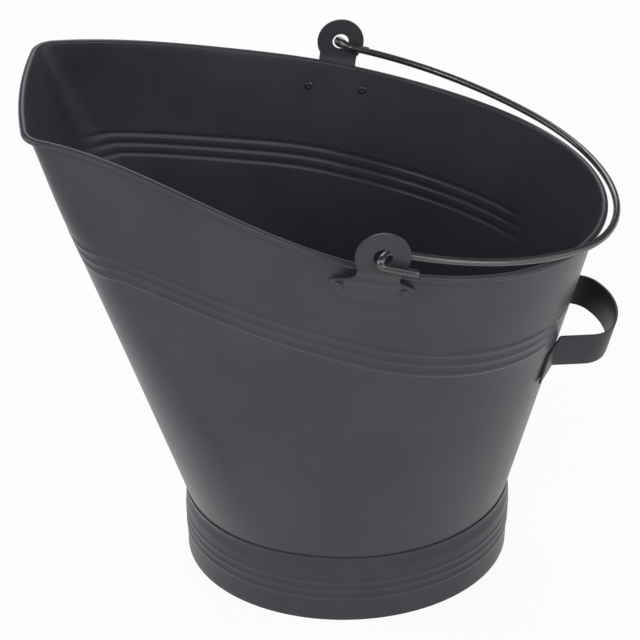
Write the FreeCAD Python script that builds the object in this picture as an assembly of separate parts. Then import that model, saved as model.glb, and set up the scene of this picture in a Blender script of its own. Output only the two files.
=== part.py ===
import FreeCAD, Part
import math
import os
from FreeCAD import Vector

# Pellet carrier: an oval sheet-steel hod with a pouring spout, standing on a foot
# ring, with a swinging wire bail and a fixed strap handle behind.
# Frame: +X points out of the spout, +Z is up, and the origin is the centre of
# the foot ring's underside. All sizes are millimetres and all angles degrees.

# Stock
sheet = 0.8
ear_sheet = 1.5
bail_wire_diameter = 5.0
fit_gap = 0.1

# Foot ring and base
foot_length = 248.0
foot_width = 199.8
foot_height = 60.0
foot_hem_width = 7.0
foot_lip_flare = 0.2
foot_bead_pitch = 7.6
foot_bead_proud = 0.9
foot_bead_middle = 30.0
base_height = 46.0
base_flange_depth = 10.0
body_end_inset = 4.3
body_side_inset = 3.0

# Rim seen from above
rim_tip_x = 214.5
lip_radius = 400.0
lip_corner_radius = 15.0
spout_width = 140.0
spout_side_angle = 73.0
rim_widest_x = -8.0
rim_width = 280.0
rim_rear_length = 165.3

# Rim seen from the side: heights and slopes at the rear, shoulder and spout tip
rim_rear_height = 303.5
rim_rear_slope = 0.08
rim_shoulder_x = 80.0
rim_shoulder_height = 359.6
rim_shoulder_slope = 0.345
rim_tip_height = 394.0
rim_tip_slope = 0.03

# Rolled edge: an open curl turned outwards
curl_radius = 2.5
curl_turn = 300.0

# Swaged beads along both sides. Beside the spout the wall swells outwards at the
# beads and they drop away from the rim; at the rear they run out. The shares are
# of the side from spout to widest place and of the rear half from side to side.
bead_count = 3
bead_first_drop = 66.5
bead_pitch = 8.6
bead_proud = 1.2
bead_rear_start = 0.26
bead_rear_end = 0.38
spout_swell = 9.5
spout_bead_drop = 10.5
spout_swell_share = 0.15

# Ears that carry the bail
ear_tilt = 9.5
ear_middle_x = -3.1
ear_hole_rise = 15.6
ear_hole_diameter = 12.0
ear_head_radius = 17.0
ear_head_lean = 1.5
ear_neck_width = 27.6
ear_flange_width = 58.0
ear_flange_foot_width = 34.0
ear_shoulder_drop = 3.0
ear_tip_drop = 14.0
ear_flange_bottom_drop = 26.0
ear_rivet_drop = 15.5
ear_rivet_spacing = 41.0
ear_tip_radius = 3.5
ear_fillet_radius = 8.0
ear_foot_radius = 9.0
ear_jog_bottom = 9.0
ear_jog_top = 1.5
ear_wall_gap = 0.3
ear_curl_gap = 5.5

# Bail
bail_tail_length = 24.0
bail_side_clearance = 4.4
bail_tail_clearance = 0.4
bail_rear_gap = 3.5
bail_rest_drop = 1.8
bail_side_turn = 40.0

# Rear strap handle
handle_strap_width = 24.8
handle_strap = 2.5
handle_middle_height = 193.7
handle_width = 80.0
handle_projection = 41.2
handle_corner_radius = 30.0
handle_foot_length = 22.0
handle_foot_bend = 5.0
handle_foot_gap = 0.3

# Rivets
rivet_shank_diameter = 4.0
rivet_head_diameter = 6.4
rivet_head_height = 1.4
rivet_seat_gap = 0.3

# Drawing steps: bands round the two faces of the curl, flats round the wire and
# the rivets, arcs in each stretch of the wall and in the turns of the bail, the
# small step for slopes, halvings in a search, how far a cutting shape runs past,
# and where the rear middle lies when the left side from spout to widest place
# counts as one
curl_outer_bands = 5
curl_inner_bands = 2
wire_flats = 8
lip_arcs = 2
corner_arcs = 4
flank_arcs = 4
rear_arcs = 8
hook_arcs = 3
side_arcs = 2
bow_arcs = 2
slope_step = 1e-4
halvings = 40
overrun = 5.0
rear_middle = 1.5

curl_offset = curl_radius - sheet
body_foot_a = foot_length / 2 - sheet - body_end_inset
body_foot_b = foot_width / 2 - sheet - body_side_inset
body_foot_z = base_height + sheet
side_angle = math.radians(spout_side_angle)
lip_reach = lip_radius - lip_corner_radius
lip_angle = math.asin((spout_width / 2 - lip_corner_radius * math.sin(side_angle)) / lip_reach)
lip_middle_x = rim_tip_x - lip_radius


def hermite(start, end, start_slope, end_slope, span, t):
    """Cubic through two values with given slopes over a span."""
    return (start * (2 * t**3 - 3 * t**2 + 1) + end * (3 * t**2 - 2 * t**3)
            + start_slope * span * (t**3 - 2 * t**2 + t) + end_slope * span * (t**3 - t**2))


def rim_height(x):
    """Height of the rim over a point of its length."""
    rear_x = rim_widest_x - rim_rear_length
    if x < rim_shoulder_x:
        span = rim_shoulder_x - rear_x
        return hermite(rim_rear_height, rim_shoulder_height, rim_rear_slope,
                       rim_shoulder_slope, span, (x - rear_x) / span)
    span = rim_tip_x - rim_shoulder_x
    return hermite(rim_shoulder_height, rim_tip_height, rim_shoulder_slope,
                   rim_tip_slope, span, (x - rim_shoulder_x) / span)


def foot_angle(normal_angle):
    """Ellipse angle where the foot's normal points the same way as the rim's."""
    return math.atan2(body_foot_b * math.sin(normal_angle), body_foot_a * math.cos(normal_angle))


def line_between(top_x, top_y, angle):
    """One straight line of the wall, from the foot ellipse up to the rim."""
    foot = Vector(body_foot_a * math.cos(angle), body_foot_b * math.sin(angle), body_foot_z)
    return foot, Vector(top_x, top_y, rim_height(top_x))


def lip_line(f):
    """Wall line across the front of the spout, right corner to left corner."""
    angle = lip_angle * (2 * f - 1)
    return line_between(lip_middle_x + lip_radius * math.cos(angle), lip_radius * math.sin(angle),
                        foot_angle(lip_angle) * (2 * f - 1))


def corner_line(f):
    """Wall line round the left corner of the spout."""
    angle = lip_angle + (side_angle - lip_angle) * f
    x = lip_middle_x + lip_reach * math.cos(lip_angle) + lip_corner_radius * math.cos(angle)
    y = lip_reach * math.sin(lip_angle) + lip_corner_radius * math.sin(angle)
    return line_between(x, y, foot_angle(angle))


def side_line(f):
    """Wall line along the left side, spout corner to the widest place."""
    start_x = (lip_middle_x + lip_reach * math.cos(lip_angle)
               + lip_corner_radius * math.cos(side_angle))
    span = start_x - rim_widest_x
    slope = -1 / math.tan(side_angle)
    y = hermite(rim_width / 2, spout_width / 2, 0.0, slope, span, 1 - f)
    start_angle = foot_angle(side_angle)
    return line_between(start_x - span * f, y, start_angle + (math.pi / 2 - start_angle) * f)


def rear_line(f):
    """Wall line round the rear half, left side to right side."""
    angle = math.pi * (0.5 + f)
    return line_between(rim_widest_x + rim_rear_length * math.cos(angle),
                        rim_width / 2 * math.sin(angle), angle)


def ease(t):
    """Smooth step from nothing to the whole."""
    t = min(max(t, 0.0), 1.0)
    return t * t * (3 - 2 * t)


def lip_form(f):
    """Shares of the spout's swelling and of the beads across the front: none."""
    return 0.0, 0.0


def corner_form(f):
    """Shares of the swelling and of the beads round the left corner of the spout."""
    return ease(f) * side_form(0.0)[0], ease(f)


def side_form(f):
    """Shares of the swelling and of the beads along the left side."""
    return math.cos(math.pi / 2 * (f - spout_swell_share) / (1 - spout_swell_share))**2, 1.0


def rear_form(f):
    """Shares of the swelling and of the beads round the rear half."""
    f = min(f, 1 - f)
    return 0.0, ease((bead_rear_end - f) / (bead_rear_end - bead_rear_start))


def mirrored(line):
    """The same stretch of wall on the other side, walked the other way."""
    def other(f):
        foot, top = line(1 - f)
        return Vector(foot.x, -foot.y, foot.z), Vector(top.x, -top.y, top.z)
    return other


def backwards(form):
    """The same shares walked the other way."""
    return lambda f: form(1 - f)


# Stretches of the loop with the number of arcs that each is drawn with
stretches = ((lip_line, lip_form, lip_arcs), (corner_line, corner_form, corner_arcs),
             (side_line, side_form, flank_arcs), (rear_line, rear_form, rear_arcs),
             (mirrored(side_line), backwards(side_form), flank_arcs),
             (mirrored(corner_line), backwards(corner_form), corner_arcs))


def wall_point(line, f, drop, outward=0.0, upward=0.0):
    """Point on a straight wall a drop below the rim (None: at the foot), moved off it."""
    foot, top = line(f)
    up = (top - foot).normalize()
    share = 0.0 if drop is None else 1 - drop / (top.z - foot.z)
    foot_a, top_a = line(f - slope_step)
    foot_b, top_b = line(f + slope_step)
    along = (foot_b - foot_a) * (1 - share) + (top_b - top_a) * share
    normal = along.cross(up).normalize()
    return foot + (top - foot) * share + normal * outward + up * upward


def bead_point(line, form, f, drop, outward=0.0, proud=0.0):
    """Point at the level of the beads, a drop below the rim beside the widest place."""
    swelling, strength = form(f)
    return wall_point(line, f, drop + spout_bead_drop * swelling,
                      outward + spout_swell * swelling + proud * strength)


def chain(point_at):
    """Closed chain of three-point arcs round the body through points of its stretches."""
    knots = []
    middles = []
    for line, form, count in stretches:
        for i in range(count):
            knots.append(point_at(line, form, i / count))
            middles.append(point_at(line, form, (i + 0.5) / count))
    return list(zip(knots, middles, knots[1:] + knots[:1]))


def ring(drop, outward=0.0, upward=0.0):
    """Chain round the straight wall at one drop below the rim (None: at the foot)."""
    return chain(lambda line, form, f: wall_point(line, f, drop, outward, upward))


def bead_ring(drop, outward, proud):
    """Chain round the swelling wall at the level of the beads."""
    return chain(lambda line, form, f: bead_point(line, form, f, drop, outward, proud))


def poles_of(arc):
    """Poles of the parabola through the three points of an arc."""
    start, middle, end = arc
    return start, middle * 2 - (start + end) / 2, end


def patch(low, high):
    """Ruled face between two arcs, weighted so that its lines run on to one apex."""
    weight = (low[2] - low[0]).Length / (high[2] - high[0]).Length
    poles = [list(pair) for pair in zip(poles_of(low), poles_of(high))]
    surface = Part.BSplineSurface()
    surface.buildFromPolesMultsKnots(poles, [3, 3], [2, 2], [0, 1], [0, 1], False, False, 2, 1,
                                     [[1, weight]] * len(poles))
    return surface.toShape()


def solid_of(faces):
    """Solid bounded by faces that meet edge to edge."""
    shell = Part.makeShell(faces)
    shell.sewShape()
    solid = Part.makeSolid(shell)
    if solid.Volume < 0:
        solid.reverse()
    return solid


def spread(start, end, bands):
    """Evenly spread values from start to end."""
    return [start + (end - start) * i / bands for i in range(bands + 1)]


def curl_ring(radius, angle):
    """Chain on a face of the curl, at an angle round the curl's middle."""
    return ring(0.0, curl_offset + radius * math.cos(angle), radius * math.sin(angle))


def bead_places(first, pitch, proud):
    """Place and height of the lines that shape a row of beads, edge to edge."""
    return [(first + pitch * i / 2, proud * (i % 2)) for i in range(2 * bead_count + 1)]


def make_body():
    """Wall with swaged beads, its top edge curled outwards and left open underneath."""
    top_edge = bead_first_drop - bead_pitch / 2
    places = bead_places(top_edge, bead_pitch, bead_proud)[::-1]
    end = math.pi - math.radians(curl_turn)
    rings = [ring(None)]
    rings += [bead_ring(drop, 0.0, proud) for drop, proud in places]
    rings += [curl_ring(curl_offset, angle) for angle in spread(math.pi, end, curl_inner_bands)]
    rings += [curl_ring(curl_radius, angle) for angle in spread(end, math.pi, curl_outer_bands)]
    rings += [bead_ring(drop, -sheet, proud) for drop, proud in reversed(places)]
    rings.append(ring(None, -sheet))
    faces = []
    for low, high in zip(rings, rings[1:] + rings[:1]):
        faces += [patch(a, b) for a, b in zip(low, high)]
    return solid_of(faces)


def oval(z, outward):
    """Ellipse of the foot ring at a height, grown outwards by a distance."""
    centre = Vector(0, 0, z)
    ends = [Vector(foot_length / 2 + outward, 0, z), Vector(0, foot_width / 2 + outward, z)]
    shorter, longer = sorted(ends, key=centre.distanceToPoint)
    return Part.Wire(Part.Ellipse(longer, shorter, centre).toShape())


def oval_plug(z, outward, height):
    """Upright solid with the foot ring's outline."""
    return Part.Face(oval(z, outward)).extrude(Vector(0, 0, height))


def make_foot_ring():
    """Beaded band that flares a little to its top edge, with a hem turned in to stand on."""
    low_edge = foot_bead_middle - foot_bead_pitch * bead_count / 2
    outside = [(0.0, 0.0)] + bead_places(low_edge, foot_bead_pitch, foot_bead_proud)
    outside.append((foot_height, foot_lip_flare))
    high_edge = outside[-2][0]
    flare = foot_lip_flare / (foot_height - high_edge)
    inside = [(sheet, 0.0), (high_edge, 0.0),
              (foot_height + overrun, foot_lip_flare + flare * overrun)]
    outer = Part.makeLoft([oval(z, out) for z, out in outside], True, True)
    inner = Part.makeLoft([oval(z, out - sheet) for z, out in inside], True, True)
    return outer.cut(inner).cut(oval_plug(-overrun, -foot_hem_width, 2 * overrun))


def make_base():
    """Oval floor with a flange turned down inside the foot ring."""
    outward = -sheet - fit_gap
    bottom = base_height - base_flange_depth
    plate = oval_plug(bottom, outward, base_flange_depth + sheet)
    return plate.cut(oval_plug(bottom, outward - sheet, base_flange_depth))


def left_wall(place, z):
    """Point of the left wall at a height; place runs from spout corner to rear middle."""
    line, form, f = (side_line, side_form, place) if place < 1 else (rear_line, rear_form, place - 1)
    foot, top = line(f)
    bend = bead_point(line, form, f, bead_first_drop - bead_pitch / 2)
    low, high = (bend, top) if z > bend.z else (foot, bend)
    return low + (high - low) * ((z - low.z) / (high.z - low.z))


def find_on_wall(z, low, high, measure):
    """Place on the left wall where a falling measure of the point passes zero."""
    for _ in range(halvings):
        middle = (low + high) / 2
        if measure(left_wall(middle, z)) > 0:
            low = middle
        else:
            high = middle
    return low


def wall_frame(place, z):
    """Point, direction rearwards, direction upwards and outward normal of the left wall."""
    point = left_wall(place, z)
    back = (left_wall(place + slope_step, z) - left_wall(place - slope_step, z)).normalize()
    up = (left_wall(place, z + slope_step) - point).normalize()
    return point, back, up, back.cross(up).normalize()


def rounded(points, radii, closed):
    """Wire through points in one plane, each corner rounded with its own radius."""
    count = len(points)
    corners = []
    for i, (point, radius) in enumerate(zip(points, radii)):
        before = (points[i - 1] - point).normalize()
        after = (points[(i + 1) % count] - point).normalize()
        half = before.getAngle(after) / 2
        if radius:
            reach = radius / math.tan(half)
            middle = point + (before + after).normalize() * (radius / math.sin(half) - radius)
            corners.append((point + before * reach, middle, point + after * reach))
        else:
            corners.append((point, None, point))
    edges = []
    for i, (start, middle, end) in enumerate(corners):
        if i or closed:
            edges.append(Part.LineSegment(corners[i - 1][2], start).toShape())
        if middle:
            edges.append(Part.Arc(start, middle, end).toShape())
    return Part.Wire(Part.__sortEdges__(edges))


tilt = math.radians(ear_tilt)
ear_along = Vector(math.cos(tilt), 0, math.sin(tilt))
ear_up = Vector(-math.sin(tilt), 0, math.cos(tilt))
ear_origin = Vector(ear_middle_x, 0, rim_height(ear_middle_x))
ear_hole = ear_origin + ear_up * ear_hole_rise


def ear_place(u, v):
    """Point of the ear's side view, u towards the spout and v upwards."""
    return ear_origin + ear_along * u + ear_up * v


def ear_wall(u, v):
    """Point, upward direction and outward normal of the wall behind a point of the ear."""
    spot = ear_place(u, v)
    place = find_on_wall(spot.z, 0.0, rear_middle, lambda p: p.x - spot.x)
    point, back, up, normal = wall_frame(place, spot.z)
    return point, up, normal


def ear_head_y(v):
    """Inner face of the ear's upright head at a height above the rim."""
    curl = ear_wall(0.0, 0.0)[0].y + curl_offset + curl_radius + ear_curl_gap
    return curl + v * math.tan(math.radians(ear_head_lean))


def ear_prism(corners, radii):
    """Prism through the left side over an outline in the ear's side view."""
    outline = rounded([ear_place(u, v) for u, v in corners], radii, True)
    return Part.Face(outline).extrude(Vector(0, rim_width, 0))


def ear_flange():
    """Part of a cylinder lying on the wall, cut off level where the jog begins."""
    half = ear_flange_width / 2 + overrun
    middle, up, normal = ear_wall(0.0, -ear_rivet_drop)
    arc = []
    for u in (-half, 0.0, half):
        point = ear_wall(u, -ear_rivet_drop)[0] + normal * ear_wall_gap
        arc.append(point - up * (point - middle).dot(up))
    inner = Part.Arc(*arc).toShape()
    circle = inner.Curve
    grow = (circle.Radius + ear_sheet) / circle.Radius
    outer = [circle.Center + (point - circle.Center) * grow for point in reversed(arc)]
    strip = Part.Face(Part.Wire([inner, Part.LineSegment(arc[2], outer[0]).toShape(),
                                 Part.Arc(*outer).toShape(),
                                 Part.LineSegment(outer[2], arc[0]).toShape()]))
    length = 2 * (ear_flange_bottom_drop + ear_flange_width)
    sleeve = strip.translated(up * (-length / 2)).extrude(up * length)
    low = -ear_flange_bottom_drop - overrun
    corners = [(-half, low), (half, low), (half, -ear_jog_bottom), (-half, -ear_jog_bottom)]
    return sleeve.common(ear_prism(corners, [0.0] * len(corners)))


def ear_upright():
    """Flat jog and head, as one strip seen from its edge and drawn out along the ear."""
    half = ear_flange_width / 2
    start = -ear_jog_bottom - ear_sheet
    top = ear_hole_rise + ear_head_radius + overrun
    levels = [(start, ear_wall(0.0, start)[0].y + ear_wall_gap),
              (-ear_jog_bottom, ear_wall(0.0, -ear_jog_bottom)[0].y + ear_wall_gap),
              (-ear_jog_top, ear_head_y(-ear_jog_top)), (top, ear_head_y(top))]
    inner = [ear_place(-half, v) + Vector(0, y, 0) for v, y in levels]
    outer = [point + Vector(0, ear_sheet, 0) for point in reversed(inner)]
    edge = Part.Face(Part.makePolygon(inner + outer + inner[:1]))
    return edge.extrude(ear_along * (2 * half))


def make_ear():
    """Stamped ear: flange on the wall, jog round the curl, round head with the bail hole."""
    slab = ear_flange().fuse(ear_upright())
    neck = ear_neck_width / 2
    half = [(ear_flange_foot_width / 2, -ear_flange_bottom_drop, ear_foot_radius),
            (ear_flange_width / 2, -ear_tip_drop, ear_tip_radius),
            (neck, -ear_shoulder_drop, ear_fillet_radius), (neck, ear_hole_rise, 0.0)]
    sketch = half + [(-u, v, radius) for u, v, radius in reversed(half)]
    blank = ear_prism([(u, v) for u, v, radius in sketch], [radius for u, v, radius in sketch])
    across = Vector(0, 1, 0)
    blank = blank.fuse(Part.makeCylinder(ear_head_radius, rim_width, ear_hole, across))
    hole = Part.makeCylinder(ear_hole_diameter / 2, rim_width, ear_hole, across)
    return slab.common(blank).cut(hole)


def ear_rivet_spots():
    """Wall point and normal of the two rivets of the left ear."""
    spots = [ear_wall(ear_rivet_spacing * share, -ear_rivet_drop) for share in (-0.5, 0.5)]
    return [(point, normal) for point, up, normal in spots]


def flat_ring(radius, z, flats):
    """Regular polygon round the Z axis."""
    turns = [2 * math.pi * i / flats for i in range(flats)]
    points = [Vector(radius * math.cos(turn), radius * math.sin(turn), z) for turn in turns]
    return Part.makePolygon(points + points[:1])


def make_rivet(point, normal, thickness):
    """Domed rivet through the wall and a piece of the given thickness lying on it."""
    head = rivet_head_diameter / 2
    shank = rivet_shank_diameter / 2
    top = thickness + rivet_seat_gap
    bottom = -sheet - rivet_seat_gap
    dome = [(head * 0.4, 1.0), (head * 0.8, 0.6), (head, 0.0)]
    profile = [(radius, top + rivet_head_height * rise) for radius, rise in dome]
    profile += [(shank, top), (shank, bottom)]
    profile += [(radius, bottom - rivet_head_height * rise) for radius, rise in reversed(dome)]
    rings = [flat_ring(radius, z, wire_flats) for radius, z in profile]
    faces = [Part.Face(rings[0]), Part.Face(rings[-1])]
    for low, high in zip(rings, rings[1:]):
        for a, b in zip(low.OrderedEdges, high.OrderedEdges):
            corners = [a.Vertexes[0], a.Vertexes[1], b.Vertexes[1], b.Vertexes[0], a.Vertexes[0]]
            faces.append(Part.Face(Part.makePolygon([corner.Point for corner in corners])))
    rivet = solid_of(faces)
    rivet.Placement = FreeCAD.Placement(point, FreeCAD.Rotation(Vector(0, 0, 1), normal))
    return rivet


def rivet_hole(point, normal):
    """Cutting prism for a rivet's shank."""
    outline = flat_ring(rivet_shank_diameter / 2 + fit_gap, -overrun, wire_flats)
    prism = Part.Face(outline).extrude(Vector(0, 0, 2 * overrun))
    prism.Placement = FreeCAD.Placement(point, FreeCAD.Rotation(Vector(0, 0, 1), normal))
    return prism


def other_side(shape):
    """Mirror image on the right side of the carrier."""
    return shape.mirror(Vector(0, 0, 0), Vector(0, 1, 0))


bail_radius = bail_wire_diameter / 2
ear_inner_y = ear_head_y(ear_hole_rise)
ear_lean_reach = ear_head_radius * math.tan(math.radians(ear_head_lean))
bail_arm_y = ear_inner_y - bail_side_clearance - bail_radius
bail_tail_y = ear_inner_y + ear_sheet + ear_lean_reach + bail_tail_clearance + bail_radius
bail_hook = (bail_tail_y - bail_arm_y) / 2
bail_back = (ear_hole.x - rim_widest_x + rim_rear_length + curl_offset + curl_radius
             + bail_rear_gap + bail_radius)
bail_down = ear_hole.z - rim_rear_height + bail_rest_drop
bail_turn = math.radians(bail_side_turn)
bail_length = math.hypot(bail_back, bail_down) - bail_hook
bail_change = (bail_length - bail_arm_y) / (math.sin(bail_turn) + math.cos(bail_turn) - 1)
bail_bow = bail_length - bail_change * math.sin(bail_turn)
bail_side = bail_bow + bail_change


def make_bail():
    """Round wire bow, hooked outwards through the ear holes, lying back round the rim."""
    back = Vector(-bail_back, 0, -bail_down).normalize()

    def at(s, y):
        return ear_hole + back * (s + bail_hook) + Vector(0, y, 0)

    def turned(middle_s, middle_y, bend, way, start, end, arcs):
        """Points along a bend and the side that the hook faces, two steps to an arc."""
        for angle in spread(start, end, 2 * arcs)[1:]:
            out = back * math.sin(angle) + Vector(0, math.cos(angle), 0)
            yield at(middle_s, middle_y) + out * bend, out * way

    path = [(at((bail_tail_length - bail_hook) * share, bail_tail_y), Vector(0, 1, 0))
            for share in (1, 0.5, 0)]
    path += turned(0, bail_tail_y - bail_hook, bail_hook, 1, 0.0, -math.pi, hook_arcs)
    path += turned(0, bail_arm_y - bail_side, bail_side, -1, 0.0, bail_turn, side_arcs)
    path += turned(bail_length - bail_bow, 0, bail_bow, -1, bail_turn, math.pi / 2, bow_arcs)
    axis = back.cross(Vector(0, 1, 0))
    turns = [2 * math.pi * i / wire_flats for i in range(wire_flats + 1)]
    edges = [[point + (out * math.cos(angle) + axis * math.sin(angle)) * bail_radius
              for point, out in path] for angle in turns]
    faces = [Part.Face(Part.makePolygon([edge[0] for edge in edges]))]
    for low, high in zip(edges, edges[1:]):
        faces += [patch(low[i:i + 3], high[i:i + 3]) for i in range(0, len(path) - 1, 2)]
    return solid_of(faces + [other_side(face) for face in faces])


def handle_slant():
    """Direction of the rear wall's middle line, for one unit of height."""
    foot, top = rear_line(0.5)
    return (top - foot) / (top.z - foot.z)


def handle_foot():
    """Middle of the left foot's inner face, direction along it and its outward normal."""
    foot_y = handle_width / 2 + handle_foot_length / 2
    z = handle_middle_height
    place = find_on_wall(z, 1.0, rear_middle, lambda p: p.y - foot_y)
    point, back, up, normal = wall_frame(place, z)
    outward = back.cross(handle_slant()).normalize()
    return point, -back, outward


def make_handle():
    """Strap bent to a bow, both ends turned outwards to lie on the rear wall."""
    point, along, normal = handle_foot()
    away = Vector(normal.x, normal.y, 0).normalize()
    middle = point + away * (handle_foot_gap / normal.dot(away))
    inner_y = handle_width / 2 - handle_strap
    end = middle + along * (handle_foot_length / 2)
    bend = middle + along * ((inner_y - middle.y) / along.y)
    back_x = left_wall(rear_middle, handle_middle_height).x - handle_projection + handle_strap
    half = [end, bend, Vector(back_x, inner_y, handle_middle_height)]
    radii = [0.0, handle_foot_bend + handle_strap, handle_corner_radius - handle_strap]
    points = half + [Vector(p.x, -p.y, p.z) for p in reversed(half)]
    path = rounded(points, radii + radii[::-1], False)
    face = path.makeOffset2D(handle_strap, 0, True, True)
    rise = handle_slant() * handle_strap_width
    face.translate(-rise / 2)
    return face.extrude(rise)


holes = [rivet_hole(*spot) for spot in ear_rivet_spots()]
holes += [other_side(hole) for hole in holes]
rivets = [make_rivet(*spot, ear_wall_gap + ear_sheet) for spot in ear_rivet_spots()]
rivets += [other_side(rivet) for rivet in rivets]
ear = make_ear().cut(holes)
pieces = {
    "body_shell": make_body().cut(holes),
    "foot_ring": make_foot_ring(),
    "base_pan": make_base(),
    "ear_left": ear,
    "ear_right": other_side(ear),
    "ear_rivets": Part.makeCompound(rivets),
    "bail": make_bail(),
    "rear_handle": make_handle(),
}

os.makedirs("parts", exist_ok=True)
for name, shape in pieces.items():
    shape.exportStep("parts/" + name + ".step")
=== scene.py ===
import math

import bmesh
import bpy
import numpy as np
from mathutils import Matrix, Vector


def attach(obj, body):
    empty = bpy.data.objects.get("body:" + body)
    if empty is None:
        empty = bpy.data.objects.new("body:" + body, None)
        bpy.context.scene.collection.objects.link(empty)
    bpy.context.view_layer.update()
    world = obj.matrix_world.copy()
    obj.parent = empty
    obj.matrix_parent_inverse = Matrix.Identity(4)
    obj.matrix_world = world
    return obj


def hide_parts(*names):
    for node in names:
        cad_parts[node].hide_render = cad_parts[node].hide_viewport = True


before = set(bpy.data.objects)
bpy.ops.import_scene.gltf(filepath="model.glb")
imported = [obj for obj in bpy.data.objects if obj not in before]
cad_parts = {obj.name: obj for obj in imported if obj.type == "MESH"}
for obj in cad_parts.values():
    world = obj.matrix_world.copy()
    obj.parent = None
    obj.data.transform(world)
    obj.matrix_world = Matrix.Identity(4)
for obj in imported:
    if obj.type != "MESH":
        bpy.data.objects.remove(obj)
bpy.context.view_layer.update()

MM = 0.001
MIRROR_Y = np.array((1.0, -1.0, 1.0))

# Sizes in millimetres and angles in degrees, the same as in the part's own source
sheet = 0.8
ear_sheet = 1.5
bail_wire_diameter = 5.0
foot_length = 248.0
foot_width = 199.8
foot_height = 60.0
foot_hem_width = 7.0
foot_bead_pitch = 7.6
foot_bead_middle = 30.0
base_height = 46.0
body_end_inset = 4.3
body_side_inset = 3.0
rim_tip_x = 214.5
lip_radius = 400.0
lip_corner_radius = 15.0
spout_width = 140.0
spout_side_angle = 73.0
rim_widest_x = -8.0
rim_width = 280.0
rim_rear_length = 165.3
rim_rear_height = 303.5
rim_rear_slope = 0.08
rim_shoulder_x = 80.0
rim_shoulder_height = 359.6
rim_shoulder_slope = 0.345
rim_tip_height = 394.0
rim_tip_slope = 0.03
curl_radius = 2.5
curl_turn = 300.0
bead_count = 3
bead_first_drop = 66.5
bead_pitch = 8.6
bead_rear_start = 0.26
bead_rear_end = 0.38
spout_swell = 9.5
spout_bead_drop = 10.5
spout_swell_share = 0.15
ear_tilt = 9.5
ear_middle_x = -3.1
ear_hole_rise = 15.6
ear_hole_diameter = 12.0
ear_head_lean = 1.5
ear_neck_width = 27.6
ear_flange_width = 58.0
ear_flange_foot_width = 34.0
ear_tip_drop = 14.0
ear_flange_bottom_drop = 26.0
ear_rivet_drop = 15.5
ear_rivet_spacing = 41.0
ear_tip_radius = 3.5
ear_fillet_radius = 8.0
ear_foot_radius = 9.0
ear_wall_gap = 0.3
ear_curl_gap = 5.5
bail_side_clearance = 4.4
bail_tail_clearance = 0.4
bail_rear_gap = 3.5
bail_rest_drop = 1.8
bail_side_turn = 40.0
handle_strap_width = 24.8
handle_middle_height = 193.7
handle_width = 80.0
handle_foot_length = 22.0
rivet_shank_diameter = 4.0
rivet_seat_gap = 0.3

# Sizes that differ from the source's, chosen to look more like the photograph
foot_bead_proud = 0.55
bead_proud = 0.9
ear_head_radius = 17.3
bail_tail_length = 23.5
handle_strap = 1.8
handle_projection = 42.6
handle_corner_radius = 18.0
handle_foot_bend = 1.6
handle_foot_gap = 0.1
rivet_head_diameter = 5.2
rivet_head_height = 1.7

# Sizes of forms that the source makes in another way or leaves out
foot_hem_radius = 1.0
foot_edge_round = 0.3
foot_hug_height = 47.0
foot_hug_gap = 0.12
foot_bead_width = 5.0
bead_width = 6.4
ear_shoulder_rise = -4.5
ear_jog_bottom_rise = -15.0
ear_jog_top_rise = 5.0
ear_edge_bevel = 0.3
bail_tail_drop = 4.5
bail_curl_depth = 1.6
bail_curl_middle = 1.9
bail_curl_width = 5.1
bail_curl_inset = 0.2
bail_arm_lead = 3.0
bail_end_round = 0.8
handle_back_radius = 57.5
handle_edge_round = 0.7
rivet_edge_height = 0.15
rivet_tip_radius = 0.02
rivet_ring_diameter = 6.4
rivet_ring_height = 1.0
rivet_ring_sink = 0.1
rivet_ring_turn = 162.0

# Pulls on the bends of the bail's hook: along the arm, to the side and downwards
bail_tail_pull = (-3.0, 0.0, 0.0)
bail_curl_pull_before = (0.0, 0.0, 1.6)
bail_curl_pull_after = (0.0, -0.6, -3.8)
bail_arm_pull = (-6.0, 0.0, 0.0)

# Counts of mesh points along each form
lip_points = 30
corner_points = 20
side_points = 70
rear_points = 150
wall_low_points = 17
wall_high_points = 13
bead_points = 11
curl_inner_points = 15
curl_outer_points = 31
foot_hem_points = 6
foot_low_points = 4
foot_high_points = 14
ear_corner_points = 10
ear_head_points = 41
ear_hole_points = 40
rivet_round_points = 32
rivet_dome_points = 9
rivet_ring_points = 12
wire_round_points = 24
wire_end_points = 5
bail_tail_points = 8
bail_curl_points = 12
bail_hook_points = 24
bail_side_points = 46
bail_bow_points = 40
handle_bend_points = 16
handle_edge_points = 5

# Steps in millimetres along the straight stretches of the handle
handle_step = 4.0

# Heights and places in millimetres where the flat ear is cut so that it can bend, and limits
# for joining its first triangles, cutting it and rounding its edges
ear_jog_rows = np.linspace(ear_jog_bottom_rise, ear_jog_top_rise, 14)
ear_flange_rows = np.linspace(-23.0, -14.0, 4)
ear_head_rows = np.linspace(8.0, 26.0, 4)
ear_columns = np.linspace(-24.0, 24.0, 13)
ear_cut_tolerance = 1e-4
ear_flat_angle = 0.01
ear_bevel_segments = 2

# Places along the left wall run from 0 to 1 on its side and on to 2 on its rear
rear_start = 1.0
rear_middle = 1.5

# Step for slopes along the wall, and halvings in the search for a place on it
slope_step = 1e-4
halvings = 40

# Edges that turn by more than this many degrees stay crisp, on bent and on stamped pieces
bent_crisp_angle = 40.0
stamped_crisp_angle = 50.0

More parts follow.
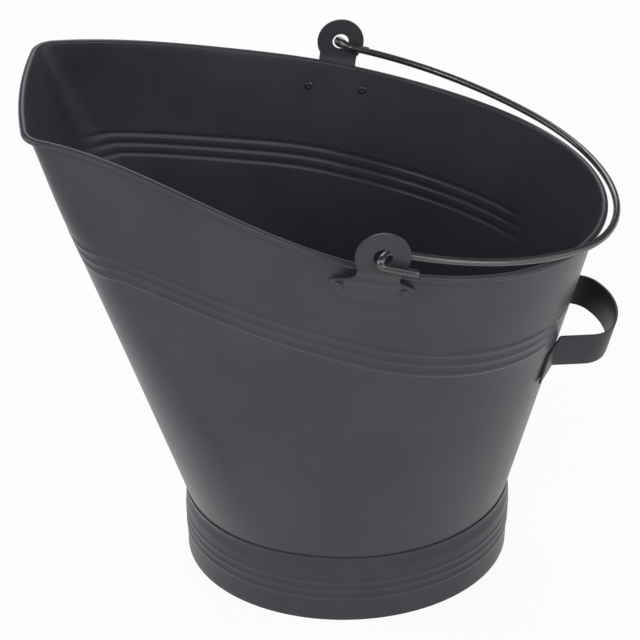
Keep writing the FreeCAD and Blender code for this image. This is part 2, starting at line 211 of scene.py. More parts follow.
curl_offset = curl_radius - sheet
body_foot_a = foot_length / 2 - sheet - body_end_inset
body_foot_b = foot_width / 2 - sheet - body_side_inset
body_foot_z = base_height + sheet
rim_rear_x = rim_widest_x - rim_rear_length
side_angle = math.radians(spout_side_angle)
lip_reach = lip_radius - lip_corner_radius
lip_angle = math.asin((spout_width / 2 - lip_corner_radius * math.sin(side_angle)) / lip_reach)
lip_middle_x = rim_tip_x - lip_radius
lip_corner_x = lip_middle_x + lip_reach * math.cos(lip_angle)
lip_corner_y = lip_reach * math.sin(lip_angle)
bead_top_drop = bead_first_drop - bead_pitch / 2
bead_bottom_drop = bead_top_drop + bead_pitch * bead_count


def unit(v):
    v = np.asarray(v, float)
    return v / np.linalg.norm(v, axis=-1, keepdims=True)


def ease(t):
    """Smooth step from 0 to 1."""
    t = min(max(t, 0.0), 1.0)
    return t * t * (3 - 2 * t)


def hermite(start, end, start_slope, end_slope, span, t):
    return (start * (2 * t**3 - 3 * t**2 + 1) + end * (3 * t**2 - 2 * t**3)
            + start_slope * span * (t**3 - 2 * t**2 + t) + end_slope * span * (t**3 - t**2))


# The wall: straight lines from the foot ellipse to the S-curved rim
def rim_height(x):
    if x < rim_shoulder_x:
        span = rim_shoulder_x - rim_rear_x
        return hermite(rim_rear_height, rim_shoulder_height, rim_rear_slope,
                       rim_shoulder_slope, span, (x - rim_rear_x) / span)
    span = rim_tip_x - rim_shoulder_x
    return hermite(rim_shoulder_height, rim_tip_height, rim_shoulder_slope,
                   rim_tip_slope, span, (x - rim_shoulder_x) / span)


def foot_angle(normal_angle):
    return math.atan2(body_foot_b * math.sin(normal_angle), body_foot_a * math.cos(normal_angle))


def line_between(top_x, top_y, angle):
    foot = (body_foot_a * math.cos(angle), body_foot_b * math.sin(angle), body_foot_z)
    return np.array(foot), np.array((top_x, top_y, rim_height(top_x)))


def lip_line(f):
    angle = lip_angle * (2 * f - 1)
    return line_between(lip_middle_x + lip_radius * math.cos(angle), lip_radius * math.sin(angle),
                        foot_angle(lip_angle) * (2 * f - 1))


def corner_line(f):
    angle = lip_angle + (side_angle - lip_angle) * f
    return line_between(lip_corner_x + lip_corner_radius * math.cos(angle),
                        lip_corner_y + lip_corner_radius * math.sin(angle), foot_angle(angle))


def side_line(f):
    start_x = lip_corner_x + lip_corner_radius * math.cos(side_angle)
    span = start_x - rim_widest_x
    slope = -1 / math.tan(side_angle)
    y = hermite(rim_width / 2, spout_width / 2, 0.0, slope, span, 1 - f)
    start_angle = foot_angle(side_angle)
    return line_between(start_x - span * f, y, start_angle + (math.pi / 2 - start_angle) * f)


def rear_line(f):
    angle = math.pi * (0.5 + f)
    return line_between(rim_widest_x + rim_rear_length * math.cos(angle),
                        rim_width / 2 * math.sin(angle), angle)


# Shares of the swelling beside the spout and of the beads, along each stretch
def lip_form(f):
    return 0.0, 0.0


def corner_form(f):
    return ease(f) * side_form(0.0)[0], ease(f)


def side_form(f):
    return math.cos(math.pi / 2 * (f - spout_swell_share) / (1 - spout_swell_share))**2, 1.0


def rear_form(f):
    f = min(f, 1 - f)
    return 0.0, ease((bead_rear_end - f) / (bead_rear_end - bead_rear_start))


def backwards(form):
    return lambda f: form(1 - f)


def mirrored(line):
    def other(f):
        foot, top = line(1 - f)
        return foot * MIRROR_Y, top * MIRROR_Y
    return other


stretches = ((lip_line, lip_form, lip_points), (corner_line, corner_form, corner_points),
             (side_line, side_form, side_points), (rear_line, rear_form, rear_points),
             (mirrored(side_line), backwards(side_form), side_points),
             (mirrored(corner_line), backwards(corner_form), corner_points))


class Wall:
    """Lines of the wall at chosen places, each a stretch, its form and how far along it."""

    def __init__(self, places):
        ends = np.array([line(f) for line, form, f in places])
        ahead = np.array([line(f + slope_step) for line, form, f in places])
        behind = np.array([line(f - slope_step) for line, form, f in places])
        forms = np.array([form(f) for line, form, f in places])
        self.foot, self.top = ends[:, 0], ends[:, 1]
        self.foot_run, self.top_run = (ahead - behind)[:, 0], (ahead - behind)[:, 1]
        self.swelling, self.strength = forms[:, :1], forms[:, 1:]
        self.rise = (self.top - self.foot)[:, 2:]
        self.up = unit(self.top - self.foot)

    def bead_share(self, drop):
        """Share of the way up to a level of the beads, which drop further beside the spout."""
        return 1 - (drop + spout_bead_drop * self.swelling) / self.rise

    def swell(self, share):
        """Outward swelling: full at the beads and easing off to foot and rim."""
        below = share / self.bead_share(bead_bottom_drop)
        above = (1 - share) / (1 - self.bead_share(bead_top_drop))
        t = np.clip(np.minimum(below, above), 0, 1)
        return spout_swell * self.swelling * (1.5 * t - 0.5 * t**3)

    def points(self, share, outward=0.0, upward=0.0):
        """Points at a share of the way up, moved off the wall."""
        run = self.foot_run * (1 - share) + self.top_run * share
        normal = unit(np.cross(run, self.up))
        return (self.foot + (self.top - self.foot) * share + self.up * upward
                + normal * (outward + self.swell(share)))


wall = Wall([(line, form, i / count) for line, form, count in stretches for i in range(count)])


# Places on the left half of the wall, for the pieces that sit on it
def left_wall(place, z):
    if place < rear_start:
        line = Wall([(side_line, side_form, place)])
    else:
        line = Wall([(rear_line, rear_form, place - rear_start)])
    return line.points((z - body_foot_z) / line.rise)[0]


def find_on_wall(z, low, high, measure):
    """Place between two others, at a height, where a falling measure of its point is zero."""
    for _ in range(halvings):
        middle = (low + high) / 2
        if measure(left_wall(middle, z)) > 0:
            low = middle
        else:
            high = middle
    return low


def wall_run(place, z):
    """Level direction along the wall, towards the rear."""
    return unit(left_wall(place + slope_step, z) - left_wall(place - slope_step, z))


def wall_normal(place, z):
    return unit(np.cross(wall_run(place, z), left_wall(place, z + 1) - left_wall(place, z)))


# Mesh helpers
def finish_mesh(name, verts, faces, body, node, slot, material, crisp_angle):
    """Object from points in millimetres that rides on a body in place of a CAD node."""
    mesh = bpy.data.meshes.new(name)
    mesh.from_pydata([tuple(v) for v in np.asarray(verts, float) * MM], [], faces)
    mesh.validate()
    bm = bmesh.new()
    bm.from_mesh(mesh)
    bmesh.ops.recalc_face_normals(bm, faces=bm.faces)
    bm.to_mesh(mesh)
    bm.free()
    mesh.polygons.foreach_set("use_smooth", [True] * len(mesh.polygons))
    mesh.set_sharp_from_angle(angle=math.radians(crisp_angle))
    obj = bpy.data.objects.new(name, mesh)
    bpy.context.scene.collection.objects.link(obj)
    mesh.materials.append(material)
    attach(obj, body)
    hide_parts(node)
    return obj


def ring_faces(rows, columns, first=0, capped=True):
    """Faces between rings of points, with flat ends or with the last ring joined to the first."""
    faces = []
    for i in range(rows - 1 if capped else rows):
        here = first + i * columns
        there = first + (i + 1) % rows * columns
        for j in range(columns):
            k = (j + 1) % columns
            faces.append((here + j, here + k, there + k, there + j))
    if capped:
        last = first + (rows - 1) * columns
        faces.append([first + j for j in range(columns)])
        faces.append([last + j for j in reversed(range(columns))])
    return faces


def rings_mesh(name, rings, *rest, capped=True):
    """Piece from rings of points; the rest is what finish_mesh takes after the faces."""
    rings = np.array(rings)
    rows, columns = rings.shape[:2]
    finish_mesh(name, rings.reshape(-1, 3), ring_faces(rows, columns, capped=capped), *rest)


def rounded(points, radii, arc_points):
    """Points along a polyline in one plane, with an arc at each corner that has a radius."""
    points = [np.asarray(p, float) for p in points]
    path = []
    for i, (point, radius) in enumerate(zip(points, radii)):
        if not radius:
            path.append(point)
            continue
        before = unit(points[i - 1] - point)
        after = unit(points[(i + 1) % len(points)] - point)
        half = math.acos(max(-1.0, min(1.0, float(before @ after)))) / 2
        reach = radius / math.tan(half)
        centre = point + unit(before + after) * (radius / math.sin(half))
        start = point + before * reach - centre
        end = point + after * reach - centre
        sweep = math.pi - 2 * half
        for t in np.linspace(0, 1, arc_points):
            mix = (start * math.sin((1 - t) * sweep) + end * math.sin(t * sweep)) / math.sin(sweep)
            path.append(centre + mix)
    return path


def bent(start, start_pull, end_pull, end, count):
    """Points along a smooth bend that leaves and arrives by its pulls."""
    leave = start + start_pull
    arrive = end + end_pull
    return [start * (1 - t)**3 + leave * 3 * t * (1 - t)**2
            + arrive * 3 * t**2 * (1 - t) + end * t**3 for t in np.linspace(0, 1, count)]


def with_directions(path):
    """A path's points and the direction of the path at each of them."""
    path = np.array(path)
    return path, unit(np.gradient(path, axis=0))


# Materials: noise scales are per metre, and heights in metres
coat_ior = 1.5
cloud_scale = 14.0
cloud_dark = 0.3
cloud_light = 0.72
dark_share = 0.86
light_share = 1.12
light_dust = 0.002
noise_low = 0.3
noise_high = 0.7
dull_spread = 0.04
gloss_spread = 0.03
speck_scale = 900.0
wave_scale = 18.0
wave_height = 0.002
peel_height = 0.0002


def coat(name, colour, specular, roughness, peel_scale, peel_depth, wave_depth):
    """Satin powder coat: fine orange peel, slow sheet waviness, uneven gloss and faint dust."""
    material = bpy.data.materials.new(name)
    material.use_nodes = True
    tree = material.node_tree
    shader = tree.nodes["Principled BSDF"]
    shader.inputs["Specular IOR Level"].default_value = specular
    shader.inputs["IOR"].default_value = coat_ior
    place = tree.nodes.new("ShaderNodeTexCoord")

    def noise(scale, detail, grain=0.5):
        node = tree.nodes.new("ShaderNodeTexNoise")
        node.inputs["Scale"].default_value = scale
        node.inputs["Detail"].default_value = detail
        node.inputs["Roughness"].default_value = grain
        tree.links.new(place.outputs["Object"], node.inputs["Vector"])
        return node.outputs["Fac"]

    def spread(source, low, high):
        node = tree.nodes.new("ShaderNodeMapRange")
        node.inputs["From Min"].default_value = noise_low
        node.inputs["From Max"].default_value = noise_high
        node.inputs["To Min"].default_value = low
        node.inputs["To Max"].default_value = high
        tree.links.new(source, node.inputs["Value"])
        return node.outputs["Result"]

    def bump(source, strength, distance):
        node = tree.nodes.new("ShaderNodeBump")
        node.inputs["Strength"].default_value = strength
        node.inputs["Distance"].default_value = distance
        tree.links.new(source, node.inputs["Height"])
        return node

    cloud = noise(cloud_scale, detail=4.0, grain=0.6)
    shades = tree.nodes.new("ShaderNodeValToRGB")
    dark, light = shades.color_ramp.elements
    dark.position = cloud_dark
    dark.color = (*[c * dark_share for c in colour], 1)
    light.position = cloud_light
    light.color = (*[c * light_share + light_dust for c in colour], 1)
    tree.links.new(cloud, shades.inputs["Fac"])
    tree.links.new(shades.outputs["Color"], shader.inputs["Base Color"])

    gloss = tree.nodes.new("ShaderNodeMath")
    gloss.operation = "ADD"
    speck = noise(speck_scale, detail=2.0)
    tree.links.new(spread(cloud, roughness - gloss_spread, roughness + dull_spread), gloss.inputs[0])
    tree.links.new(spread(speck, -gloss_spread, gloss_spread), gloss.inputs[1])
    tree.links.new(gloss.outputs["Value"], shader.inputs["Roughness"])

    wave = bump(noise(wave_scale, detail=1.0), wave_depth, wave_height)
    peel = bump(noise(peel_scale, detail=2.0), peel_depth, peel_height)
    tree.links.new(wave.outputs["Normal"], peel.inputs["Normal"])
    tree.links.new(peel.outputs["Normal"], shader.inputs["Normal"])
    return material


body_coat = coat("body_coat", (0.0395, 0.0419, 0.0484), specular=0.24, roughness=0.33,
                 peel_scale=620.0, peel_depth=0.15, wave_depth=0.10)
foot_coat = coat("foot_coat", (0.0385, 0.0405, 0.0462), specular=0.20, roughness=0.35,
                 peel_scale=620.0, peel_depth=0.15, wave_depth=0.10)
fitting_coat = coat("fitting_coat", (0.0450, 0.0468, 0.0512), specular=0.24, roughness=0.42,
                    peel_scale=700.0, peel_depth=0.15, wave_depth=0.05)
wire_coat = coat("wire_coat", (0.0240, 0.0250, 0.0280), specular=0.90, roughness=0.20,
                 peel_scale=800.0, peel_depth=0.25, wave_depth=0.03)
# The rivets' coat is darker than the ears' coat: painted shade that stands in for the dark ring of
# shade round each rivet head.
rivet_coat = coat("rivet_coat", (0.0210, 0.0220, 0.0245), specular=0.50, roughness=0.24,
                  peel_scale=800.0, peel_depth=0.25, wave_depth=0.03)


# Body shell: up the outer skin with its beads, round the curl and back, down the inner skin
def bead_profile():
    """Points across a bead: share of its width from the middle, and share of its height."""
    return [(t - 0.5, math.sin(math.pi * t)**2) for t in np.linspace(0, 1, bead_points)]


def make_body():
    lower = wall.bead_share(bead_bottom_drop)
    upper = wall.bead_share(bead_top_drop)
    levels = [(lower * t, 0.0) for t in np.linspace(0, 1, wall_low_points, endpoint=False)]
    for i in reversed(range(bead_count)):
        for place, proud in bead_profile():
            drop = bead_first_drop + bead_pitch * i - bead_width * place
            levels.append((wall.bead_share(drop), bead_proud * proud * wall.strength))
    levels += [(upper + (1 - upper) * t, 0.0)
               for t in np.linspace(0, 1, wall_high_points, endpoint=False)]

    def skin(offset):
        return [wall.points(share, proud + offset) for share, proud in levels]

    def curl(radius, angles):
        return [wall.points(1.0, curl_offset + radius * math.cos(a), radius * math.sin(a))
                for a in angles]

    end = math.pi - math.radians(curl_turn)
    rings = skin(0.0)
    rings += curl(curl_offset, np.linspace(math.pi, end, curl_inner_points))
    rings += curl(curl_radius, np.linspace(end, math.pi, curl_outer_points))
    rings += skin(-sheet)[::-1]
    rings_mesh("body_shell_coated", rings, "bucket", "body_shell", "body_coat", body_coat,
               bent_crisp_angle, capped=False)


# Foot ring: an oval band whose top edge is drawn in against the wall
def foot_band(z, outward):
    angle = np.arctan2(wall.foot[:, 1] / body_foot_b, wall.foot[:, 0] / body_foot_a)
    band = np.stack([(foot_length / 2 + outward) * np.cos(angle),
                     (foot_width / 2 + outward) * np.sin(angle), np.full(len(angle), z)], axis=-1)
    hug = ease((z - foot_hug_height) / (foot_height - foot_hug_height))
    tight = wall.points((z - body_foot_z) / wall.rise, foot_hug_gap + sheet + outward)
    tight[:, 2] = z
    return band * (1 - hug) + tight * hug


def make_foot_ring():
    hem = foot_hem_radius
    edge = foot_edge_round
    beads = []
    for i in range(bead_count):
        middle = foot_bead_middle + foot_bead_pitch * (i - (bead_count - 1) / 2)
        for place, proud in bead_profile():
            beads.append((middle + foot_bead_width * place, foot_bead_proud * proud))
    outside = [(hem - hem * math.cos(a), -hem + hem * math.sin(a))
               for a in np.linspace(0, math.pi / 2, foot_hem_points)]
    outside += [(z, 0.0) for z in np.linspace(hem, beads[0][0], foot_low_points)[1:-1]]
    outside += beads
    outside += [(z, 0.0)
                for z in np.linspace(beads[-1][0], foot_height - edge, foot_high_points)[1:]]
    top = [(foot_height - edge / 3, -edge / 3), (foot_height, -edge),
           (foot_height - edge / 3, edge / 3 - sheet)]
    inside = [(max(z, sheet), out - sheet) for z, out in outside[foot_hem_points - 1:]]
    turned_in = [(sheet, -foot_hem_width), (0.0, -foot_hem_width)]
    profile = outside + top + inside[::-1] + turned_in
    rings_mesh("foot_ring_coated", [foot_band(z, out) for z, out in profile],
               "bucket", "foot_ring", "body_coat", foot_coat, bent_crisp_angle, capped=False)


# Ears: drawn flat as (u, v) points along and up from the rim, then bent onto the wall
tilt = math.radians(ear_tilt)
ear_along = np.array((math.cos(tilt), 0, math.sin(tilt)))
ear_up = np.array((-math.sin(tilt), 0, math.cos(tilt)))
ear_origin = np.array((ear_middle_x, 0, rim_height(ear_middle_x)))
ear_hole = ear_origin + ear_up * ear_hole_rise


def ear_point(u, v):
    return ear_origin + ear_along * u + ear_up * v


def beside_ear(u, v):
    """Place along the wall beside a point of the ear, and its height."""
    x, _, z = ear_point(u, v)
    return find_on_wall(z, 0.0, rear_middle, lambda point: point[0] - x), z


ear_rim_y = left_wall(*beside_ear(0.0, 0.0))[1]


def ear_head_y(v):
    """Inner face of the ear's head, which leans outwards and stands clear of the curl."""
    return (ear_rim_y + curl_offset + curl_radius + ear_curl_gap
            + v * math.tan(math.radians(ear_head_lean)))


def ear_inner_y(u, v):
    """Inner face of the ear: on the wall below, easing over to the head above."""
    rise = ease((v - ear_jog_bottom_rise) / (ear_jog_top_rise - ear_jog_bottom_rise))
    wall_y = left_wall(*beside_ear(u, min(v, 0.0)))[1] + ear_wall_gap
    return wall_y * (1 - rise) + ear_head_y(v) * rise


def ear_outline():
    neck = ear_neck_width / 2
    meet = ear_hole_rise - math.sqrt(ear_head_radius**2 - neck**2)
    right = [((ear_flange_foot_width / 2, -ear_flange_bottom_drop), ear_foot_radius),
             ((ear_flange_width / 2, -ear_tip_drop), ear_tip_radius),
             ((neck, ear_shoulder_rise), ear_fillet_radius), ((neck, meet), 0.0)]
    start = math.atan2(meet - ear_hole_rise, neck)
    head = [((ear_head_radius * math.cos(a), ear_hole_rise + ear_head_radius * math.sin(a)), 0.0)
            for a in np.linspace(start, math.pi - start, ear_head_points)[1:-1]]
    left = [((-u, v), radius) for (u, v), radius in reversed(right)]
    points, radii = zip(*right, *head, *left)
    return rounded(points, radii, ear_corner_points)


def flat_ear():
    """Points, faces and open edges of the flat ear, cut into rows and columns."""
    bm = bmesh.new()
    outer = [bm.verts.new((u, v, 0)) for u, v in ear_outline()]
    radius = ear_hole_diameter / 2
    hole = [bm.verts.new((radius * math.cos(a), ear_hole_rise + radius * math.sin(a), 0))
            for a in np.linspace(0, 2 * math.pi, ear_hole_points, endpoint=False)]
    edges = []
    for loop in (outer, hole):
        edges += [bm.edges.new((a, b)) for a, b in zip(loop, loop[1:] + loop[:1])]
    bmesh.ops.triangle_fill(bm, use_beauty=True, edges=edges, normal=(0, 0, 1))
    bmesh.ops.dissolve_limit(bm, angle_limit=ear_flat_angle, verts=bm.verts, edges=bm.edges)
    cuts = [((0, v, 0), (0, 1, 0)) for v in (*ear_jog_rows, *ear_flange_rows, *ear_head_rows)]
    cuts += [((u, 0, 0), (1, 0, 0)) for u in ear_columns]
    for point, normal in cuts:
        bmesh.ops.bisect_plane(bm, geom=bm.verts[:] + bm.edges[:] + bm.faces[:],
                               dist=ear_cut_tolerance, plane_co=point, plane_no=normal)
    bm.verts.index_update()
    points = [(v.co.x, v.co.y) for v in bm.verts]
    faces = [[v.index for v in f.verts] for f in bm.faces]
    border = [[v.index for v in e.verts] for e in bm.edges if len(e.link_faces) == 1]
    bm.free()
    return points, faces, border


def make_ears():
    points, faces, border = flat_ear()
    inner = np.array([ear_point(u, v) + (0, ear_inner_y(u, v), 0) for u, v in points])
    verts = np.concatenate([inner, inner + (0, ear_sheet, 0)])
    count = len(inner)
    faces += [[i + count for i in reversed(face)] for face in faces]
    faces += [(a, b, b + count, a + count) for a, b in border]
    for node, flip in (("ear_left", 1), ("ear_right", MIRROR_Y)):
        obj = finish_mesh(node + "_coated", verts * flip, faces, "bucket", node, "fitting_coat",
                          fitting_coat, stamped_crisp_angle)
        bevel = obj.modifiers.new("edge", "BEVEL")
        bevel.width = ear_edge_bevel * MM
        bevel.segments = ear_bevel_segments
        bevel.limit_method = "ANGLE"
        bevel.angle_limit = math.radians(stamped_crisp_angle)
        bevel.harden_normals = True


# Rivets: domed heads outside, and inside upset ends rolled over to rings with a dimple
def rivet_profile(stand):
    """Radius and height above the wall along a rivet whose head stands off the wall."""
    shank = rivet_shank_diameter / 2
    head = rivet_head_diameter / 2
    roll = rivet_ring_diameter / 4
    top = stand + rivet_seat_gap
    under_head = top - rivet_edge_height
    ring = -sheet - rivet_seat_gap + rivet_ring_sink
    profile = [(max(head * math.sin(a), rivet_tip_radius), top + rivet_head_height * math.cos(a))
               for a in np.linspace(0, math.pi / 2, rivet_dome_points)]
    profile += [(head, under_head), (shank, under_head), (shank, ring)]
    profile += [(roll + roll * math.cos(a), ring - rivet_ring_height * math.sin(a))
                for a in np.linspace(0, math.radians(rivet_ring_turn), rivet_ring_points)]
    return profile


def make_rivets():
    turns = np.linspace(0, 2 * math.pi, rivet_round_points, endpoint=False)[:, None]
    verts = []
    faces = []
    for u in (-ear_rivet_spacing / 2, ear_rivet_spacing / 2):
        place, z = beside_ear(u, -ear_rivet_drop)
        spot = left_wall(place, z)
        outward = wall_normal(place, z)
        stand = ear_inner_y(u, -ear_rivet_drop) - spot[1] + ear_sheet
        side = unit(np.cross(outward, (0, 0, 1)))
        circle = np.cos(turns) * side + np.sin(turns) * np.cross(outward, side)
        profile = rivet_profile(stand)
        rings = np.array([spot + outward * height + circle * radius for radius, height in profile])
        for flip in (1, MIRROR_Y):
            faces += ring_faces(len(profile), rivet_round_points, first=len(verts))
            verts += list((rings * flip).reshape(-1, 3))
    finish_mesh("ear_rivets_coated", verts, faces, "bucket", "ear_rivets", "rivet_coat",
                rivet_coat, stamped_crisp_angle)


# Bail: one bow of wire, drawn along its arm, to the side and downwards from the ear holes
def make_bail():
    radius = bail_wire_diameter / 2
    inner_y = ear_head_y(ear_hole_rise)
    lean_reach = ear_head_radius * math.tan(math.radians(ear_head_lean))
    arm_y = inner_y - bail_side_clearance - radius
    tail_y = inner_y + ear_sheet + lean_reach + bail_tail_clearance + radius
    hook = (tail_y - arm_y) / 2
    level = ear_hole[0] - rim_rear_x + curl_offset + curl_radius + bail_rear_gap + radius
    down = ear_hole[2] - rim_rear_height + bail_rest_drop
    turn = math.radians(bail_side_turn)
    reach = math.hypot(level, down) - hook
    change = (reach - arm_y) / (math.sin(turn) + math.cos(turn) - 1)
    bow = reach - change * math.sin(turn)
    side = bow + change
    bow_start = hook + reach - bow

    tail = np.array((bail_curl_width - bail_curl_depth, tail_y, bail_tail_drop))
    curl = np.array((-bail_curl_depth, tail_y - bail_curl_inset, bail_curl_middle))
    arm = np.array((hook + bail_arm_lead, arm_y, 0.0))
    half = [(s, tail_y, bail_tail_drop)
            for s in np.linspace(bail_tail_length, tail[0], bail_tail_points)[:-1]]
    half += bent(tail, bail_tail_pull, bail_curl_pull_before, curl, bail_curl_points)[:-1]
    half += bent(curl, bail_curl_pull_after, bail_arm_pull, arm, bail_hook_points)[:-1]
    half += [(hook + side * math.sin(a), arm_y - side * (1 - math.cos(a)), 0.0)
             for a in np.linspace(math.asin(bail_arm_lead / side), turn, bail_side_points)]
    half += [(bow_start + bow * math.sin(a), bow * math.cos(a), 0.0)
             for a in np.linspace(turn, math.pi / 2, bail_bow_points)[1:]]
    whole = half + [(s, -y, drop) for s, y, drop in reversed(half[:-1])]

    back = unit((-level, 0, -down))
    below = unit(np.cross(back, (0, 1, 0)))
    path, along = with_directions([ear_hole + back * s + (0, y, 0) + below * drop
                                   for s, y, drop in whole])
    turns = np.linspace(0, 2 * math.pi, wire_round_points, endpoint=False)[:, None]

    def ring(i, ring_radius, shift=0.0):
        across = unit(np.cross(along[i], below))
        upright = np.cross(across, along[i])
        return path[i] + along[i] * shift + ring_radius * (np.cos(turns) * upright
                                                           + np.sin(turns) * across)

    def blunt_end(i, inward):
        return [ring(i, radius - bail_end_round * (1 - math.sin(a)),
                     inward * bail_end_round * (1 - math.cos(a)))
                for a in np.linspace(0, math.pi / 2, wire_end_points)]

    rings = blunt_end(0, 1)
    rings += [ring(i, radius) for i in range(1, len(path) - 1)]
    rings += blunt_end(-1, -1)[::-1]
    rings_mesh("bail_coated", rings, "bail", "bail", "wire_coat", wire_coat, bent_crisp_angle)


# Rear handle: a strap bent to a bow, its sides following the slant of the rear wall
def strap_section():
    """Outline of the strap with rounded edges: how far out of its inner face, and how far up."""
    edge = handle_edge_round
    outer = handle_strap - edge
    top = handle_strap_width / 2 - edge
    section = []
    for i, (x, z) in enumerate(((outer, top), (edge, top), (edge, -top), (outer, -top))):
        for a in np.linspace(0, math.pi / 2, handle_edge_points) + i * math.pi / 2:
            section.append((x + edge * math.cos(a), z + edge * math.sin(a)))
    return section


def make_handle():
    z = handle_middle_height
    wall_foot, wall_top = rear_line(rear_middle - rear_start)
    slant = (wall_top - wall_foot) / (wall_top[2] - wall_foot[2])
    foot_y = handle_width / 2 + handle_foot_length / 2
    place = find_on_wall(z, rear_start, rear_middle, lambda point: point[1] - foot_y)
    back = wall_run(place, z)
    normal = unit(np.cross(back, slant))
    away = unit(normal * (1, 1, 0))
    foot_middle = left_wall(place, z) + away * (handle_foot_gap / (normal @ away))
    foot_end = foot_middle - back * (handle_foot_length / 2)
    inner_y = handle_width / 2 - handle_strap
    foot_bend = foot_middle + back * ((inner_y - foot_middle[1]) / back[1])

    bow = handle_back_radius
    corner = handle_corner_radius
    bow_x = left_wall(rear_middle, z)[0] - handle_projection + handle_strap + bow
    corner_y = inner_y - corner
    corner_x = bow_x - math.sqrt((bow - corner)**2 - corner_y**2)
    meet = math.atan2(corner_y, bow_x - corner_x)
    foot = rounded([foot_end, foot_bend, (corner_x, inner_y, z)],
                   [0.0, handle_foot_bend + handle_strap, 0.0], handle_bend_points)
    half = []
    for a, b in zip(foot, foot[1:]):
        steps = max(1, int(np.linalg.norm(b - a) / handle_step))
        half += [a + (b - a) * i / steps for i in range(steps)]
    half += [np.array((corner_x - corner * math.sin(a), corner_y + corner * math.cos(a), z))
             for a in np.linspace(0, math.pi / 2 - meet, handle_bend_points)]
    half += [np.array((bow_x - bow * math.cos(a), bow * math.sin(a), z))
             for a in np.linspace(meet, 0, handle_bend_points)[1:]]
    path, along = with_directions(half + [p * MIRROR_Y for p in reversed(half[:-1])])
    section = strap_section()
    rings = []
    for point, direction in zip(path, along):
        outward = unit(np.cross(direction, (0, 0, 1)))
        rings.append([point + outward * out + slant * up for out, up in section])
    rings_mesh("rear_handle_coated", rings, "bucket", "rear_handle", "fitting_coat", fitting_coat,
               bent_crisp_angle)


# Stage, in metres and degrees: a pale floor, soft light, and the camera of the photograph
floor_reach = 6.0
floor_grey = 0.86
floor_white_share = 0.92
world_light = 0.12
world_white = 1.0
lamp_target = (0.0, 0.0, 0.22)
lamp_distance = 1.8
lamp_colour = (0.96, 0.98, 1.0)
camera_place = (0.10295, 1.06893, 0.93495)
camera_pitch = 34.361
camera_yaw = 4.372
focal_pixels = 1800.0
image_pixels = 640.0
sensor_mm = 36.0


def seen_directly(tree):
    """Output that is 1 for rays from the camera and mirrored or refracted rays, else 0."""
    path = tree.nodes.new("ShaderNodeLightPath")
    seen = path.outputs["Is Camera Ray"]
    for kind in ("Is Glossy Ray", "Is Transmission Ray"):
        either = tree.nodes.new("ShaderNodeMath")
        either.operation = "MAXIMUM"
        tree.links.new(seen, either.inputs[0])
        tree.links.new(path.outputs[kind], either.inputs[1])
        seen = either.outputs["Value"]
    return seen


def floor_material():
    """Pale floor that is seen nearly white, with the shadow still on it."""
    material = bpy.data.materials.new("floor_white")
    material.use_nodes = True
    tree = material.node_tree
    tree.nodes.clear()
    out = tree.nodes.new("ShaderNodeOutputMaterial")
    diffuse = tree.nodes.new("ShaderNodeBsdfDiffuse")
    diffuse.inputs["Color"].default_value = (floor_grey, floor_grey, floor_grey, 1)
    glow = tree.nodes.new("ShaderNodeEmission")
    glow.inputs["Color"].default_value = (1, 1, 1, 1)
    glow.inputs["Strength"].default_value = 1.0
    share = tree.nodes.new("ShaderNodeMath")
    share.operation = "MULTIPLY"
    share.inputs[1].default_value = floor_white_share
    mix = tree.nodes.new("ShaderNodeMixShader")
    tree.links.new(seen_directly(tree), share.inputs[0])
    tree.links.new(share.outputs["Value"], mix.inputs["Fac"])
    tree.links.new(diffuse.outputs["BSDF"], mix.inputs[1])
    tree.links.new(glow.outputs["Emission"], mix.inputs[2])
    tree.links.new(mix.outputs["Shader"], out.inputs["Surface"])
    return material


def make_floor():
    mesh = bpy.data.meshes.new("floor")
    corners = [(x * floor_reach, y * floor_reach, 0)
               for x, y in ((-1, -1), (1, -1), (1, 1), (-1, 1))]
    mesh.from_pydata(corners, [], [(0, 1, 2, 3)])
    mesh.materials.append(floor_material())
    floor = bpy.data.objects.new("floor", mesh)
    bpy.context.scene.collection.objects.link(floor)


def make_world():
    """White to the camera alone: mirrored on all sides, it would wash out the dark coats."""
    world = bpy.data.worlds.new("studio")
    bpy.context.scene.world = world
    world.use_nodes = True
    tree = world.node_tree
    background = tree.nodes["Background"]
    background.inputs["Color"].default_value = (1, 1, 1, 1)
    path = tree.nodes.new("ShaderNodeLightPath")
    strength = tree.nodes.new("ShaderNodeMapRange")
    strength.inputs["To Min"].default_value = world_light
    strength.inputs["To Max"].default_value = world_white
    tree.links.new(path.outputs["Is Camera Ray"], strength.inputs["Value"])
    tree.links.new(strength.outputs["Result"], background.inputs["Strength"])


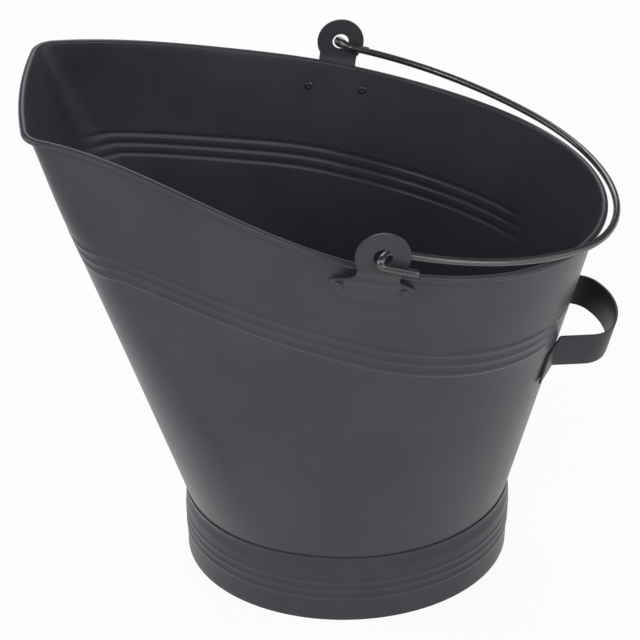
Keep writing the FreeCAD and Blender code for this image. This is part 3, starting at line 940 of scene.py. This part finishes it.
def make_lamp(name, direction, size, watts):
    """Square soft box that faces the carrier from a direction."""
    light = bpy.data.lights.new(name, "AREA")
    light.shape = "SQUARE"
    light.size = size
    light.energy = watts
    light.color = lamp_colour
    lamp = bpy.data.objects.new(name, light)
    bpy.context.scene.collection.objects.link(lamp)
    toward = Vector(direction).normalized()
    lamp.location = Vector(lamp_target) + toward * lamp_distance
    lamp.rotation_euler = (-toward).to_track_quat("-Z", "Y").to_euler()


def make_camera():
    """Camera whose place and angles were found by fitting the photograph."""
    data = bpy.data.cameras.new("camera")
    data.sensor_width = sensor_mm
    data.sensor_fit = "HORIZONTAL"
    data.lens = focal_pixels / image_pixels * sensor_mm
    camera = bpy.data.objects.new("camera", data)
    bpy.context.scene.collection.objects.link(camera)
    camera.location = camera_place
    camera.rotation_mode = "XYZ"
    camera.rotation_euler = (math.pi / 2 - math.radians(camera_pitch), 0.0,
                             math.pi - math.radians(camera_yaw))
    bpy.context.scene.camera = camera


make_body()
make_foot_ring()
make_ears()
make_rivets()
make_bail()
make_handle()

# The base pan shows its own CAD mesh, in the body's coat
base_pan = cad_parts["base_pan"]
base_pan.data.materials.clear()
base_pan.data.materials.append(body_coat)

# Left and right are as the photograph shows them, with the spout on the left
make_floor()
make_world()
make_lamp("front_top", (0.15, 0.72, 0.68), size=0.45, watts=7.0)
make_lamp("front_left", (0.60, 0.62, 0.50), size=1.2, watts=4.8)
make_lamp("front_right", (-0.60, 0.62, 0.50), size=1.2, watts=8.0)
make_lamp("left", (0.95, 0.10, 0.30), size=1.2, watts=15.5)
make_lamp("right", (-0.95, 0.10, 0.30), size=1.2, watts=4.6)
make_lamp("back_top", (0.0, -0.70, 0.70), size=1.2, watts=15.6)
make_lamp("low_left", (0.70, 0.68, 0.18), size=1.0, watts=2.5)
make_lamp("low_right", (-0.70, 0.68, 0.18), size=1.0, watts=5.5)
make_lamp("left_top", (0.70, 0.10, 0.70), size=1.0, watts=2.1)
make_camera()
bpy.context.scene.view_settings.view_transform = "Standard"

bpy.context.view_layer.update()
